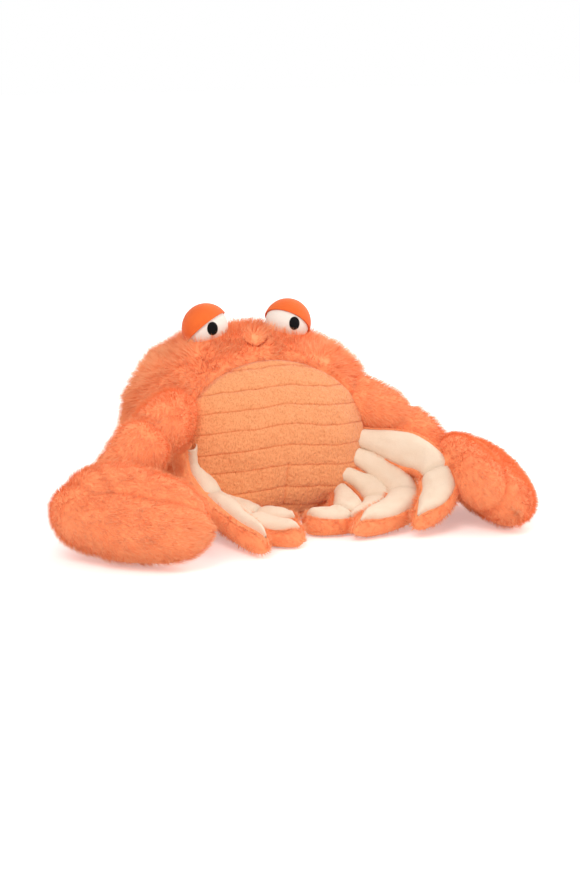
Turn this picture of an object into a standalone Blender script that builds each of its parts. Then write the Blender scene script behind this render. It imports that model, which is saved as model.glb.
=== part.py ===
"""Plush crab, sitting, in metres, +Z up, its face towards -Y and its left claw at +X.

The body is a sewn fur cover with an oval opening at the belly, a ribbed belly panel that closes it,
stuffing inside and a bean pouch at the bottom. Two eyes stand on the head. Two stuffed arms end in
two-fingered claws, and eight flat legs, each a fur back with a smooth panel on one side, spread from
the seam of the belly.
Working origin: the middle of the floor under the belly's front. The last step moves the parent
empty so that the origin lies at the middle of the whole crab's box, on the floor.
"""

import math

import bmesh
import bpy
from mathutils import Matrix, Vector
from mathutils.bvhtree import BVHTree

# Body
BODY_WIDTH = 0.200
BODY_DEPTH = 0.170
BODY_HEIGHT = 0.150
WAIST_HEIGHT = 0.060  # height of the widest level
HEAD_LEAN = 0.005  # how far the crown leans back
PLAN_POWER = 2.5  # superellipse power seen from above, more is squarer
CROWN_POWER = 2.35  # superellipse power over the waist, seen from the front
BASE_POWER = 5.0  # superellipse power under the waist, more sits flatter
BASE_SINK = 0.002  # what the floor flattens off the bottom
COVER_THICKNESS = 0.002
GAP = 0.0003  # left between pieces that touch

# Belly panel, an oval seen from the front
PANEL_WIDTH = 0.157
PANEL_HEIGHT = 0.122
PANEL_MIDDLE = 0.070  # height of its middle

# Bean pouch
POUCH_WIDTH = 0.110
POUCH_DEPTH = 0.095
POUCH_THICKNESS = 0.024

# Eyes
EYE_WIDTH = 0.0370
EYE_DEPTH = 0.033
EYE_HEIGHT = 0.0375
EYE_SPACING = 0.072
EYE_SETBACK = 0.085  # behind the belly's front
EYE_RISE = 0.0022  # middle of an eye over the crown
LID_THICKNESS = 0.0014
LID_DROOP = (0.50, 0.45, 0.74)  # outwards, back and up: what the lid covers
PUPIL_WIDTH = 0.0092
PUPIL_HEIGHT = 0.0110
PUPIL_RISE = 0.0018  # over the middle of its eye
PUPIL_THICKNESS = 0.0006

# Places on the limbs are given out from the body's side, back from the belly's front and up.

# Arms: shoulder, elbow and wrist
ARM_THICKNESS = 0.044
ELBOW_PINCH = 0.26  # share that the elbow's seam draws in
ARMS = {
    "left": ((-0.022, 0.046, 0.090), (0.013, 0.032, 0.071), (0.032, 0.014, 0.045)),
    "right": ((-0.022, 0.042, 0.090), (0.010, 0.008, 0.082), (0.037, -0.004, 0.058)),
}

# Claws, each drawn from its heel to its tips
CLAW_LENGTH = 0.131
CLAW_WIDTH = 0.074
CLAW_THICKNESS = 0.050
# Heel, then degrees of turn inwards from straight ahead, slope down, and roll that lifts the small finger
CLAW_POSES = {
    "left": ((0.063, 0.030, 0.042), 2, 9, 31),
    "right": ((0.087, -0.003, 0.044), 41, 7, 47),
}

# Legs
LEG_WIDTH = 0.030
LEG_THICKNESS = 0.0195
KNEE_PINCH = 0.08
LEG_RIM = 0.0026  # fur edge beside the panel
LEG_PANEL_THICKNESS = 0.0013
ROOT_DEPTH = 0.012  # how far a leg is drawn on into the body before it is trimmed
LEG_POWER = 2.5  # superellipse power of a leg's section
LEG_ROOM = 0.0009  # what the next leg's fur keeps clear of a leg

# Each leg: root, knee, tip, then which way its panel faces at the root, knee and tip
LEGS = {
    "left": (
        ((-0.020, 0.026, 0.060), (0.024, -0.030, 0.040), (-0.016, -0.079, 0.010)),
        ((-0.026, 0.021, 0.045), (-0.007, -0.018, 0.021), (-0.067, -0.066, 0.010)),
        ((-0.037, 0.013, 0.031), (-0.024, -0.014, 0.014), (-0.068, -0.046, 0.010)),
        ((-0.048, 0.009, 0.018), (-0.062, -0.030, 0.011), (-0.096, -0.027, 0.010)),
    ),
    "right": (
        ((-0.022, 0.024, 0.060), (-0.035, -0.001, 0.029), (-0.050, -0.088, 0.010)),
        ((-0.038, 0.013, 0.028), (-0.056, -0.028, 0.013), (-0.090, -0.066, 0.010)),
        ((-0.054, 0.007, 0.018), (-0.071, -0.012, 0.012), (-0.097, -0.035, 0.010)),
        ((-0.020, 0.026, 0.014), (-0.013, 0.006, 0.011), (-0.011, -0.018, 0.010)),
    ),
}
FACINGS = {
    "left": (
        ((-0.2, -0.9, 0.35), (-0.35, -0.65, 0.65), (-0.3, -0.3, 0.9)),
        ((-0.2, -0.85, 0.45), (-0.35, -0.5, 0.8), (-0.2, -0.45, 0.87)),
        ((-0.2, -0.8, 0.55), (-0.2, -0.4, 0.9), (-0.1, -0.3, 0.95)),
        ((-0.1, -0.7, 0.7), (0.0, -0.2, 1.0), (0.0, -0.1, 1.0)),
    ),
    "right": (
        ((0.45, -0.85, 0.3), (0.25, -0.35, 0.88), (0.1, -0.2, 0.97)),
        ((0.3, -0.5, 0.8), (0.1, -0.2, 0.97), (0.0, -0.2, 0.98)),
        ((0.2, -0.5, 0.85), (0.1, -0.2, 0.97), (0.0, -0.15, 0.98)),
        ((0.1, -0.4, 0.9), (0.0, -0.1, 1.0), (0.0, -0.1, 1.0)),
    ),
}


def clear_scene():
    for old in list(bpy.data.objects):
        bpy.data.objects.remove(old)


def new_collection(name):
    made = bpy.data.collections.new(name)
    bpy.context.scene.collection.children.link(made)
    return made


def material(name, colour, roughness):
    made = bpy.data.materials.new(name)
    made.use_nodes = True
    shader = made.node_tree.nodes["Principled BSDF"]
    shader.inputs["Base Color"].default_value = (*colour, 1.0)
    shader.inputs["Roughness"].default_value = roughness
    made.diffuse_color = (*colour, 1.0)
    return made


clear_scene()
PARTS = new_collection("plush_crab")
CUTTERS = new_collection("cutters")
ROOT = bpy.data.objects.new("crab_origin", None)
PARTS.objects.link(ROOT)

FUR = material("orange_fur", (0.93, 0.23, 0.08), 0.95)
BELLY = material("peach_ribbed_plush", (0.93, 0.36, 0.16), 0.92)
CREAM = material("cream_suede", (0.93, 0.72, 0.50), 0.9)
EYE_WHITE = material("eye_white_suede", (0.88, 0.80, 0.70), 0.85)
LID = material("eyelid_suede", (0.93, 0.16, 0.03), 0.85)
PUPIL = material("pupil_thread", (0.008, 0.008, 0.010), 0.45)
STUFFING = material("polyester_stuffing", (0.85, 0.85, 0.83), 1.0)
POUCH = material("pouch_cotton", (0.75, 0.72, 0.66), 0.95)


def add_part(name, mesh_source, look):
    """A visible piece from a bmesh, under the crab's empty."""
    mesh = bpy.data.meshes.new(name)
    mesh_source.to_mesh(mesh)
    mesh_source.free()
    mesh.materials.append(look)
    mesh.shade_smooth()
    mesh.set_sharp_from_angle(angle=math.radians(50))
    made = bpy.data.objects.new(name, mesh)
    made.parent = ROOT
    PARTS.objects.link(made)
    return made


def add_cutter(name, mesh_source):
    """A guide solid that only shapes other pieces."""
    mesh = bpy.data.meshes.new(name)
    mesh_source.to_mesh(mesh)
    mesh_source.free()
    made = bpy.data.objects.new(name, mesh)
    made.parent = ROOT
    made.display_type = "WIRE"
    made.hide_render = True
    CUTTERS.objects.link(made)
    return made


def boolean(piece, cutter, operation):
    step = piece.modifiers.new(f"{operation.lower()}_{cutter.name}"[:60], "BOOLEAN")
    step.operation = operation
    step.solver = "MANIFOLD"
    step.object = cutter


def tree_of(made):
    mesh = made.data
    return BVHTree.FromPolygons([v.co for v in mesh.vertices], [p.vertices for p in mesh.polygons])


def trim(piece, cutters):
    """Takes each cutter whose surface crosses the piece's out of it."""
    tree = tree_of(piece)
    for cutter in cutters:
        if tree.overlap(tree_of(cutter)):
            boolean(piece, cutter, "DIFFERENCE")


# Balls: a cube's grid blown up to a sphere, then given a form of its own


def unit_ball(cuts):
    ball = bmesh.new()
    bmesh.ops.create_cube(ball, size=2.0)
    bmesh.ops.subdivide_edges(ball, edges=ball.edges[:], cuts=cuts, use_grid_fill=True)
    for vertex in ball.verts:
        even = [math.tan(c * math.pi / 4) for c in vertex.co]
        vertex.co = Vector(even).normalized()
    bmesh.ops.triangulate(ball, faces=ball.faces[:], quad_method="SHORT_EDGE")
    return ball


def grow(solid, distance):
    """Moves every vertex out along its normal."""
    solid.normal_update()
    moved = [v.co + v.normal * distance for v in solid.verts]
    for vertex, place in zip(solid.verts, moved):
        vertex.co = place


def body_place(unit):
    """Where the unit sphere's point lies on the body: squarish from above, flat under the waist."""
    flat = math.hypot(unit.x, unit.y)
    rise = abs(unit.z)
    across, along = (unit.x / flat, unit.y / flat) if flat > 1e-9 else (0.0, 0.0)
    if flat > 1e-9:
        square = (abs(across) ** PLAN_POWER + abs(along) ** PLAN_POWER) ** (-1 / PLAN_POWER)
        across, along = across * square, along * square
    if unit.z < 0:
        seat = (flat**BASE_POWER + rise**BASE_POWER) ** (-1 / BASE_POWER)
        flat, rise = flat * seat, rise * seat
        height = WAIST_HEIGHT - (WAIST_HEIGHT + BASE_SINK) * rise
        lean = 0.0
        wide = flat
    else:
        height = WAIST_HEIGHT + (BODY_HEIGHT - WAIST_HEIGHT) * rise
        lean = HEAD_LEAN * rise
        wide = (1 - rise**CROWN_POWER) ** (1 / CROWN_POWER)
    half_depth = BODY_DEPTH / 2
    return Vector((BODY_WIDTH / 2 * across * wide, half_depth * (1 + along * flat) + lean, height))


def body_solid(offset, floor):
    """The stuffed body's form, grown by offset and cut flat at the height floor."""
    solid = unit_ball(7)
    for vertex in solid.verts:
        vertex.co = body_place(vertex.co)
    grow(solid, offset)
    geometry = solid.verts[:] + solid.edges[:] + solid.faces[:]
    cut = bmesh.ops.bisect_plane(
        solid, geom=geometry, plane_co=(0, 0, floor), plane_no=(0, 0, -1), clear_outer=True
    )
    rim = [e for e in cut["geom_cut"] if isinstance(e, bmesh.types.BMEdge)]
    bmesh.ops.contextual_create(solid, geom=rim)
    bmesh.ops.recalc_face_normals(solid, faces=solid.faces[:])
    return solid


def floor_slab():
    """What the limbs stay clear of, so that the body alone takes the weight."""
    slab = bmesh.new()
    bmesh.ops.create_cube(slab, size=1.0)
    bmesh.ops.translate(slab, vec=(0, 0, GAP - 0.5), verts=slab.verts)
    return slab


def oval_rod(half_width, half_height, place, depth, sides=48):
    """An elliptic rod along Y, its near end at the place."""
    rod = bmesh.new()
    bmesh.ops.create_cone(rod, cap_ends=True, segments=sides, radius1=1.0, radius2=1.0, depth=depth)
    turn = Matrix.Rotation(math.pi / 2, 4, "X")
    stretch = Matrix.Diagonal((half_width, 1.0, half_height, 1.0))
    shift = Matrix.Translation(Vector(place) + Vector((0, depth / 2, 0)))
    bmesh.ops.transform(rod, matrix=shift @ stretch @ turn, verts=rod.verts)
    return rod


def make_body():
    hollow = add_cutter("body_hollow", body_solid(-COVER_THICKNESS, COVER_THICKNESS))
    reach = BODY_DEPTH * 0.35
    front = -0.02
    opening = add_cutter(
        "belly_opening",
        oval_rod(PANEL_WIDTH / 2 + GAP, PANEL_HEIGHT / 2 + GAP, (0, front, PANEL_MIDDLE), reach - front),
    )
    blank = add_cutter(
        "belly_blank",
        oval_rod(PANEL_WIDTH / 2, PANEL_HEIGHT / 2, (0, front, PANEL_MIDDLE), reach - front),
    )
    cover = add_part("body_cover", body_solid(0.0, 0.0), FUR)
    boolean(cover, hollow, "DIFFERENCE")
    boolean(cover, opening, "DIFFERENCE")
    panel = add_part("belly_panel", body_solid(0.0, 0.0), BELLY)
    boolean(panel, hollow, "DIFFERENCE")
    boolean(panel, blank, "INTERSECT")

    inset = COVER_THICKNESS + GAP
    pouch_place = Vector((0, BODY_DEPTH / 2, inset + POUCH_THICKNESS / 2))
    recess = add_cutter("pouch_recess", pouch_solid(pouch_place, GAP))
    stuffing = add_part("body_stuffing", body_solid(-inset, inset), STUFFING)
    boolean(stuffing, recess, "DIFFERENCE")
    add_part("bean_pouch", pouch_solid(pouch_place, 0.0), POUCH)


def pouch_solid(place, offset):
    """A flat cushion whose underside is level with the stuffing's, and whose recess opens there."""
    solid = unit_ball(5)
    half = Vector((POUCH_WIDTH / 2, POUCH_DEPTH / 2, POUCH_THICKNESS / 2))
    for vertex in solid.verts:
        sunk = min(0.0, vertex.co.z) * 0.6  # the floor presses its underside flatter
        vertex.co = Vector((vertex.co.x, vertex.co.y, vertex.co.z + sunk))
        vertex.co = Vector([c * h for c, h in zip(vertex.co, half)]) + place
    grow(solid, offset)
    floor = COVER_THICKNESS + GAP - offset * 2
    geometry = solid.verts[:] + solid.edges[:] + solid.faces[:]
    cut = bmesh.ops.bisect_plane(
        solid, geom=geometry, plane_co=(0, 0, floor), plane_no=(0, 0, -1), clear_outer=True
    )
    rim = [e for e in cut["geom_cut"] if isinstance(e, bmesh.types.BMEdge)]
    bmesh.ops.contextual_create(solid, geom=rim)
    bmesh.ops.recalc_face_normals(solid, faces=solid.faces[:])
    return solid


# Eyes


def eye_solid(place, offset, cuts=4):
    solid = unit_ball(cuts)
    half = (EYE_WIDTH / 2, EYE_DEPTH / 2, EYE_HEIGHT / 2)
    for vertex in solid.verts:
        vertex.co = Vector([c * h for c, h in zip(vertex.co, half)])
    grow(solid, offset)
    bmesh.ops.translate(solid, vec=place, verts=solid.verts)
    return solid


def make_eye(name, side, body_room):
    place = Vector((side * EYE_SPACING / 2, EYE_SETBACK, BODY_HEIGHT + EYE_RISE))
    ball = add_part(f"{name}_eye", eye_solid(place, 0.0), EYE_WHITE)
    boolean(ball, body_room, "DIFFERENCE")

    inside = add_cutter(f"{name}_eye_room", eye_solid(place, GAP))
    lid_form = eye_solid(place, GAP + LID_THICKNESS)
    covers = Vector((side * LID_DROOP[0], LID_DROOP[1], LID_DROOP[2])).normalized()
    geometry = lid_form.verts[:] + lid_form.edges[:] + lid_form.faces[:]
    cut = bmesh.ops.bisect_plane(
        lid_form, geom=geometry, plane_co=place, plane_no=-covers, clear_outer=True
    )
    rim = [e for e in cut["geom_cut"] if isinstance(e, bmesh.types.BMEdge)]
    bmesh.ops.contextual_create(lid_form, geom=rim)
    bmesh.ops.recalc_face_normals(lid_form, faces=lid_form.faces[:])
    lid = add_part(f"{name}_eyelid", lid_form, LID)
    boolean(lid, inside, "DIFFERENCE")
    boolean(lid, body_room, "DIFFERENCE")

    rod_place = place + Vector((0, -EYE_DEPTH, PUPIL_RISE))
    rod = add_cutter(
        f"{name}_pupil_outline",
        oval_rod(PUPIL_WIDTH / 2, PUPIL_HEIGHT / 2, rod_place, EYE_DEPTH, 24),
    )
    pupil = add_part(f"{name}_pupil", eye_solid(place, GAP + PUPIL_THICKNESS), PUPIL)
    boolean(pupil, rod, "INTERSECT")
    boolean(pupil, inside, "DIFFERENCE")


# Limbs: a loft of rounded sections along a curved middle line


def bend(points, share):
    """A point of the curve that starts at the first point, passes the second halfway and ends at the third."""
    start, middle, end = (Vector(p) for p in points)
    control = middle * 2 - (start + end) / 2
    rest = 1 - share
    return start * rest**2 + control * 2 * rest * share + end * share**2


def blend_list(values, share):
    """Reads a list of (share, value) pairs, with smooth steps between them."""
    share = max(share, values[0][0])
    for (low, first), (high, second) in zip(values, values[1:]):
        if share <= high:
            step = (share - low) / (high - low)
            step = step * step * (3 - 2 * step)
            return first + (second - first) * step
    return values[-1][1]


def skin(rings, turned=()):
    """A closed solid through rings of places. The quads named turned are split the other way."""
    solid = bmesh.new()
    loops = [[solid.verts.new(place) for place in ring] for ring in rings]
    count = len(loops[0])
    for first, second in zip(loops, loops[1:]):
        for i in range(count):
            j = (i + 1) % count
            if i in turned:
                solid.faces.new((first[i], first[j], second[i]))
                solid.faces.new((first[j], second[j], second[i]))
            else:
                solid.faces.new((first[i], first[j], second[j]))
                solid.faces.new((first[i], second[j], second[i]))
    solid.faces.new(loops[0][::-1])
    solid.faces.new(loops[-1])
    bmesh.ops.triangulate(solid, faces=solid.faces[:])
    bmesh.ops.recalc_face_normals(solid, faces=solid.faces[:])
    return solid


def loft(sections, sides, power, offset=0.0):
    """A solid through rounded sections, each a middle, an across, a facing and two half sizes."""
    rings = []
    for middle, across, facing, half_width, half_height in sections:
        ring = []
        for i in range(sides):
            angle = 2 * math.pi * (i + 0.5) / sides
            c, s = math.cos(angle), math.sin(angle)
            square = (abs(c) ** power + abs(s) ** power) ** (-1 / power)
            out = across * (c * square * (half_width + offset))
            up = facing * (s * square * (half_height + offset))
            ring.append(middle + out + up)
        rings.append(ring)
    return skin(rings)


def sections_along(line, facing_at, shares, half_width_at, half_height_at):
    """Sections square to a line, which is a function of the share, with its own facing."""
    step = 0.01
    made = []
    for share in shares:
        ahead = (line(share + step) - line(share - step)).normalized()
        facing = facing_at(share)
        facing = (facing - ahead * facing.dot(ahead)).normalized()
        across = ahead.cross(facing)
        made.append((line(share), across, facing, half_width_at(share), half_height_at(share)))
    return made


def round_shares(count, start, end, start_round, end_round):
    """Shares from start to end, closer together where an end is rounded."""
    made = []
    for i in range(count):
        t = i / (count - 1)
        even = t
        swing = (1 - math.cos(math.pi * t)) / 2
        weight = end_round if t > 0.5 else start_round
        made.append(start + (end - start) * (even + (swing - even) * weight))
    return made


def rounded_end(share, start, end, reach):
    """1 along the limb and falling to almost 0 over the reach before each rounded end."""
    fall = 1.0
    for gap in (share - start, end - share):
        if reach and gap < reach:
            t = 1 - gap / reach
            fall = min(fall, math.sqrt(max(0.0, 1 - t * t)))
    return max(fall, 0.14)


# Arms


def beside(point, side):
    """A limb's point, which is given from the body's side."""
    out, back, height = point
    return Vector((side * (BODY_WIDTH / 2 + out), back, height))


def arm_solid(name, side, offset):
    points = [beside(point, side) for point in ARMS[name]]

    def half(share):
        pinch = 1 - ELBOW_PINCH * math.exp(-(((share - 0.5) / 0.09) ** 2))
        return ARM_THICKNESS / 2 * pinch * rounded_end(share, -0.25, 1.25, 0.30)

    shares = [-0.25 + 1.5 * i / 14 for i in range(15)]
    sections = sections_along(
        lambda share: bend(points, share), lambda share: Vector((0, 0, 1)), shares, half, half
    )
    return loft(sections, 12, 2.0, offset)


# Claws

def claw_frame(name, side):
    heel, yaw, pitch, roll = CLAW_POSES[name]
    yaw, pitch, roll = math.radians(yaw), math.radians(pitch), math.radians(roll)
    ahead = Vector((-side * math.sin(yaw), -math.cos(yaw), 0))
    inward = Vector((-side * math.cos(yaw), math.sin(yaw), 0))
    up = Vector((0, 0, 1))
    length = ahead * math.cos(pitch) - up * math.sin(pitch)
    lift = ahead * math.sin(pitch) + up * math.cos(pitch)
    width = inward * math.cos(roll) + lift * math.sin(roll)
    face = lift * math.cos(roll) - inward * math.sin(roll)
    return beside(heel, side), length, width, face


def finger_solid(name, side, small, offset):
    heel, length, width, face = claw_frame(name, side)
    lane = 0.20 if small else -0.17
    curl = 0.10 if small else 0.06
    start, end = (0.06, 0.94) if small else (0.0, 1.0)

    def line(share):
        across = lane * CLAW_WIDTH * math.sin(math.pi * min(1.0, max(0.0, share)) ** 0.8)
        across += curl * CLAW_WIDTH * share
        return heel + length * (share * CLAW_LENGTH) + width * across

    def half_width(share):
        broad = 0.27 if small else 0.36
        taper = 1 - 0.35 * max(0.0, share - 0.5)
        return CLAW_WIDTH * broad * taper * rounded_end(share, start, end, 0.26)

    def half_height(share):
        broad = 0.42 if small else 0.50
        taper = 1 - 0.45 * max(0.0, share - 0.45)
        return CLAW_THICKNESS * broad * taper * rounded_end(share, start, end, 0.26)

    shares = round_shares(12, start, end, 0.8, 0.8)
    sections = sections_along(line, lambda share: face, shares, half_width, half_height)
    return loft(sections, 12, 2.2, offset)


def make_claw(name, side):
    """One claw. Returns guides that keep the arm and the legs clear of its fingers."""
    claw = add_part(f"{name}_claw", finger_solid(name, side, False, 0.0), FUR)
    small_finger = add_cutter(f"{name}_small_finger", finger_solid(name, side, True, 0.0))
    boolean(claw, small_finger, "UNION")
    boolean(claw, FLOOR_ROOM, "DIFFERENCE")
    return [
        add_cutter(f"{name}_{finger}_finger_room", finger_solid(name, side, small, GAP))
        for finger, small in (("big", False), ("small", True))
    ]


def make_arm(name, side, rooms):
    arm = add_part(f"{name}_arm", arm_solid(name, side, 0.0), FUR)
    trim(arm, rooms)



# Legs

LEG_WIDTHS = ((0.0, 0.62), (0.30, 0.96), (0.5, 1.0), (0.8, 0.74), (1.0, 0.50))
LEG_SHARES = (0.14, 0.28, 0.40, 0.50, 0.59, 0.68, 0.77, 0.86, 0.93, 0.975, 1.0)
PANEL_END = 0.93  # share of the leg at which its panel ends
SOLE_STEPS = 6  # points along the back of a section


def leg_sections(points, facings):
    length = (Vector(points[1]) - Vector(points[0])).length * 2

    def knee(share):
        return math.exp(-(((share - 0.5) / 0.05) ** 2))

    def half_width(share):
        wide = blend_list(LEG_WIDTHS, share) * (1 - KNEE_PINCH * knee(share))
        return LEG_WIDTH / 2 * wide * rounded_end(share, -9, 1.0, 0.12)

    def half_height(share):
        return LEG_THICKNESS / 2 * (1 - 1.6 * KNEE_PINCH * knee(share)) * rounded_end(share, -9, 1.0, 0.10)

    return sections_along(
        lambda share: bend(points, share),
        lambda share: bend(facings, min(1.0, max(0.0, share))),
        (-ROOT_DEPTH / length, 0.0, *LEG_SHARES),
        half_width,
        half_height,
    )


def crown(half_width, half_height, out):
    """Height of a leg section's panel side, out from its middle."""
    share = min(1.0, abs(out) / half_width)
    return half_height * (1 - share**LEG_POWER) ** (1 / LEG_POWER)


def panel_half(half_width):
    return max(half_width - LEG_RIM, half_width * 0.45)


def leg_back_solid(sections):
    """The leg without its panel: a rounded back with a shallow bed along its other side."""
    last_with_panel = len(sections) - 1 - len([s for s in LEG_SHARES if s > PANEL_END])
    rings = []
    for index, (middle, across, facing, half_width, half_height) in enumerate(sections):
        half = panel_half(half_width) + GAP
        deep = LEG_PANEL_THICKNESS + GAP if index < last_with_panel else LEG_PANEL_THICKNESS / 2 + GAP
        if index > last_with_panel:
            deep = GAP / 2
        top = crown(half_width, half_height, half)
        edge = math.atan2(top / half_height, half / half_width)
        section = [(half, top)]
        for i in range(1, SOLE_STEPS):
            angle = edge - (math.pi + 2 * edge) * i / SOLE_STEPS
            c, s = math.cos(angle), math.sin(angle)
            square = (abs(c) ** LEG_POWER + abs(s) ** LEG_POWER) ** (-1 / LEG_POWER)
            section.append((c * square * half_width, s * square * half_height))
        section.append((-half, top))
        for share in (-1.0, -0.5, 0.0, 0.5, 1.0):
            section.append((half * share, crown(half_width, half_height, half * share) - deep))
        rings.append([middle + across * x + facing * y for x, y in section])
    return skin(rings)


def leg_panel_solid(sections):
    """The thin panel that lies in the bed of the leg's back."""
    last = len(sections) - len([s for s in LEG_SHARES if s > PANEL_END])
    rings = []
    for index, (middle, across, facing, half_width, half_height) in enumerate(sections[:last]):
        half = panel_half(half_width)
        thick = LEG_PANEL_THICKNESS if index < last - 1 else LEG_PANEL_THICKNESS / 2
        section = []
        for share in (1.0, 0.5, 0.0, -0.5, -1.0):
            section.append((half * share, crown(half_width, half_height, half * share)))
        for share in (-1.0, -0.5, 0.0, 0.5, 1.0):
            section.append((half * share, crown(half_width, half_height, half * share) - thick))
        rings.append([middle + across * x + facing * y for x, y in section])
    return skin(rings, turned=range(4))


def make_leg(name, points, facings, rooms):
    """One leg: a filled fur back, and a smooth panel let into the side that faces out."""
    sections = leg_sections(points, facings)
    back = add_part(f"{name}_back", leg_back_solid(sections), FUR)
    panel = add_part(f"{name}_panel", leg_panel_solid(sections), CREAM)
    trim(back, rooms)
    trim(panel, rooms)
    return add_cutter(f"{name}_room", loft(sections, 12, LEG_POWER, LEG_ROOM))


def settle_origin():
    """Puts the parent empty where the whole crab's box has its bottom middle at the origin."""
    bpy.context.view_layer.update()
    seen = bpy.context.evaluated_depsgraph_get()
    places = [
        made.matrix_world @ Vector(corner)
        for made in (o.evaluated_get(seen) for o in PARTS.objects if o.type == "MESH")
        for corner in made.bound_box
    ]
    low = Vector([min(p[i] for p in places) for i in range(3)])
    high = Vector([max(p[i] for p in places) for i in range(3)])
    ROOT.location = (-(low.x + high.x) / 2, -(low.y + high.y) / 2, -low.z)


make_body()
BODY_ROOM = add_cutter("body_room", body_solid(GAP, -0.01))
FLOOR_ROOM = add_cutter("floor_room", floor_slab())
LIMB_ROOMS = [FLOOR_ROOM, BODY_ROOM]
for NAME, SIDE in (("left", 1), ("right", -1)):
    make_eye(NAME, SIDE, BODY_ROOM)
    LIMB_ROOMS += make_claw(NAME, SIDE)
for NAME, SIDE in (("right", -1), ("left", 1)):
    for NUMBER, (POINTS, FACING) in enumerate(zip(LEGS[NAME], FACINGS[NAME]), 1):
        LINE = [beside(point, SIDE) for point in POINTS]
        LIMB_ROOMS.append(make_leg(f"{NAME}_leg_{NUMBER}", LINE, FACING, LIMB_ROOMS))
for NAME, SIDE in (("left", 1), ("right", -1)):
    make_arm(NAME, SIDE, LIMB_ROOMS)
settle_origin()
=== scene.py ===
import math

import bmesh
import bpy
import numpy as np
from mathutils import Matrix, Vector
from mathutils.bvhtree import BVHTree
from mathutils.kdtree import KDTree


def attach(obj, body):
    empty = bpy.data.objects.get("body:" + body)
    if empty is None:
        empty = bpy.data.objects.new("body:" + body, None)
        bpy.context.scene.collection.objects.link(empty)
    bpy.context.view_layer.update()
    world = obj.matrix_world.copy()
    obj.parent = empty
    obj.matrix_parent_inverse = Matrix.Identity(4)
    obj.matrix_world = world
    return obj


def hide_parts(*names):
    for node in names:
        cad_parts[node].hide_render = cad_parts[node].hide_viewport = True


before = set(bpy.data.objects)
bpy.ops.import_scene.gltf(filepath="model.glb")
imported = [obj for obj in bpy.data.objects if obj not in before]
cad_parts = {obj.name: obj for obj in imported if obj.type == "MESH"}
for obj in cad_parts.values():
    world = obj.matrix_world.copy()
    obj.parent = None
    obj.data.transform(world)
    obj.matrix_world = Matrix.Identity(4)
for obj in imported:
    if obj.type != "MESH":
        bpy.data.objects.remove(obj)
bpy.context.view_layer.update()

# The sizes below are those of the solids, from the middle of the floor under the belly's front.
# SHIFT is where that point lies in the frame.
SHIFT = np.array((0.00174, -0.03255, 0.0))

BODY_WIDTH, BODY_DEPTH, BODY_HEIGHT = 0.200, 0.170, 0.150
WAIST_HEIGHT, HEAD_LEAN, BASE_SINK = 0.060, 0.005, 0.002
PLAN_POWER, CROWN_POWER, BASE_POWER = 2.5, 2.35, 5.0
PANEL_WIDTH, PANEL_HEIGHT, PANEL_MIDDLE = 0.157, 0.122, 0.070
SEAM = 1.03  # where the belly's seam shows, as a share of the panel's half size
EYE_HALF = np.array((0.037, 0.033, 0.0375)) / 2
EYE_PLACES = {"left": np.array((0.036, 0.085, 0.1522)), "right": np.array((-0.036, 0.085, 0.1522))}
LID_DROOP = (0.50, 0.45, 0.74)
LID_THICKNESS, LID_GAP = 0.0014, 0.0003
PUPIL_HALF = (0.0046, 0.0055)
PUPIL_RISE, PUPIL_THICKNESS = 0.0018, 0.0012
ARM_THICKNESS, ELBOW_PINCHES = 0.044, {"left": 0.15, "right": 0.26}
ARMS = {
    "left": ((0.078, 0.046, 0.090), (0.113, 0.032, 0.071), (0.132, 0.014, 0.045)),
    "right": ((-0.078, 0.042, 0.090), (-0.110, 0.008, 0.082), (-0.137, -0.004, 0.058)),
}
CLAW_LENGTH, CLAW_WIDTH, CLAW_THICKNESS = 0.131, 0.074, 0.050
CLAW_POSES = {
    "left": ((0.163, 0.030, 0.042), 2, 9, 31),
    "right": ((-0.187, -0.003, 0.044), 41, 7, 47),
}
LEG_WIDTH, LEG_THICKNESS, KNEE_PINCH, LEG_RIM, LEG_POWER = 0.030, 0.0195, 0.08, 0.0026, 2.5
LEG_WIDTHS = ((0.0, 0.62), (0.30, 0.96), (0.5, 1.0), (0.8, 0.74), (1.0, 0.50))
LEGS = {
    "left": (
        ((0.080, 0.026, 0.060), (0.124, -0.030, 0.040), (0.084, -0.079, 0.010)),
        ((0.074, 0.021, 0.045), (0.093, -0.018, 0.021), (0.033, -0.066, 0.010)),
        ((0.063, 0.013, 0.031), (0.076, -0.014, 0.014), (0.032, -0.046, 0.010)),
        ((0.052, 0.009, 0.018), (0.038, -0.030, 0.011), (0.004, -0.027, 0.010)),
    ),
    "right": (
        ((-0.078, 0.024, 0.060), (-0.065, -0.001, 0.029), (-0.050, -0.088, 0.010)),
        ((-0.062, 0.013, 0.028), (-0.044, -0.028, 0.013), (-0.010, -0.066, 0.010)),
        ((-0.046, 0.007, 0.018), (-0.029, -0.012, 0.012), (-0.003, -0.035, 0.010)),
        ((-0.080, 0.026, 0.014), (-0.087, 0.006, 0.011), (-0.089, -0.018, 0.010)),
    ),
}
FACINGS = {
    "left": (
        ((-0.2, -0.9, 0.35), (-0.35, -0.65, 0.65), (-0.3, -0.3, 0.9)),
        ((-0.2, -0.85, 0.45), (-0.35, -0.5, 0.8), (-0.2, -0.45, 0.87)),
        ((-0.2, -0.8, 0.55), (-0.2, -0.4, 0.9), (-0.1, -0.3, 0.95)),
        ((-0.1, -0.7, 0.7), (0.0, -0.2, 1.0), (0.0, -0.1, 1.0)),
    ),
    "right": (
        ((0.45, -0.85, 0.3), (0.25, -0.35, 0.88), (0.1, -0.2, 0.97)),
        ((0.3, -0.5, 0.8), (0.1, -0.2, 0.97), (0.0, -0.2, 0.98)),
        ((0.2, -0.5, 0.85), (0.1, -0.2, 0.97), (0.0, -0.15, 0.98)),
        ((0.1, -0.4, 0.9), (0.0, -0.1, 1.0), (0.0, -0.1, 1.0)),
    ),
}
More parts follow.
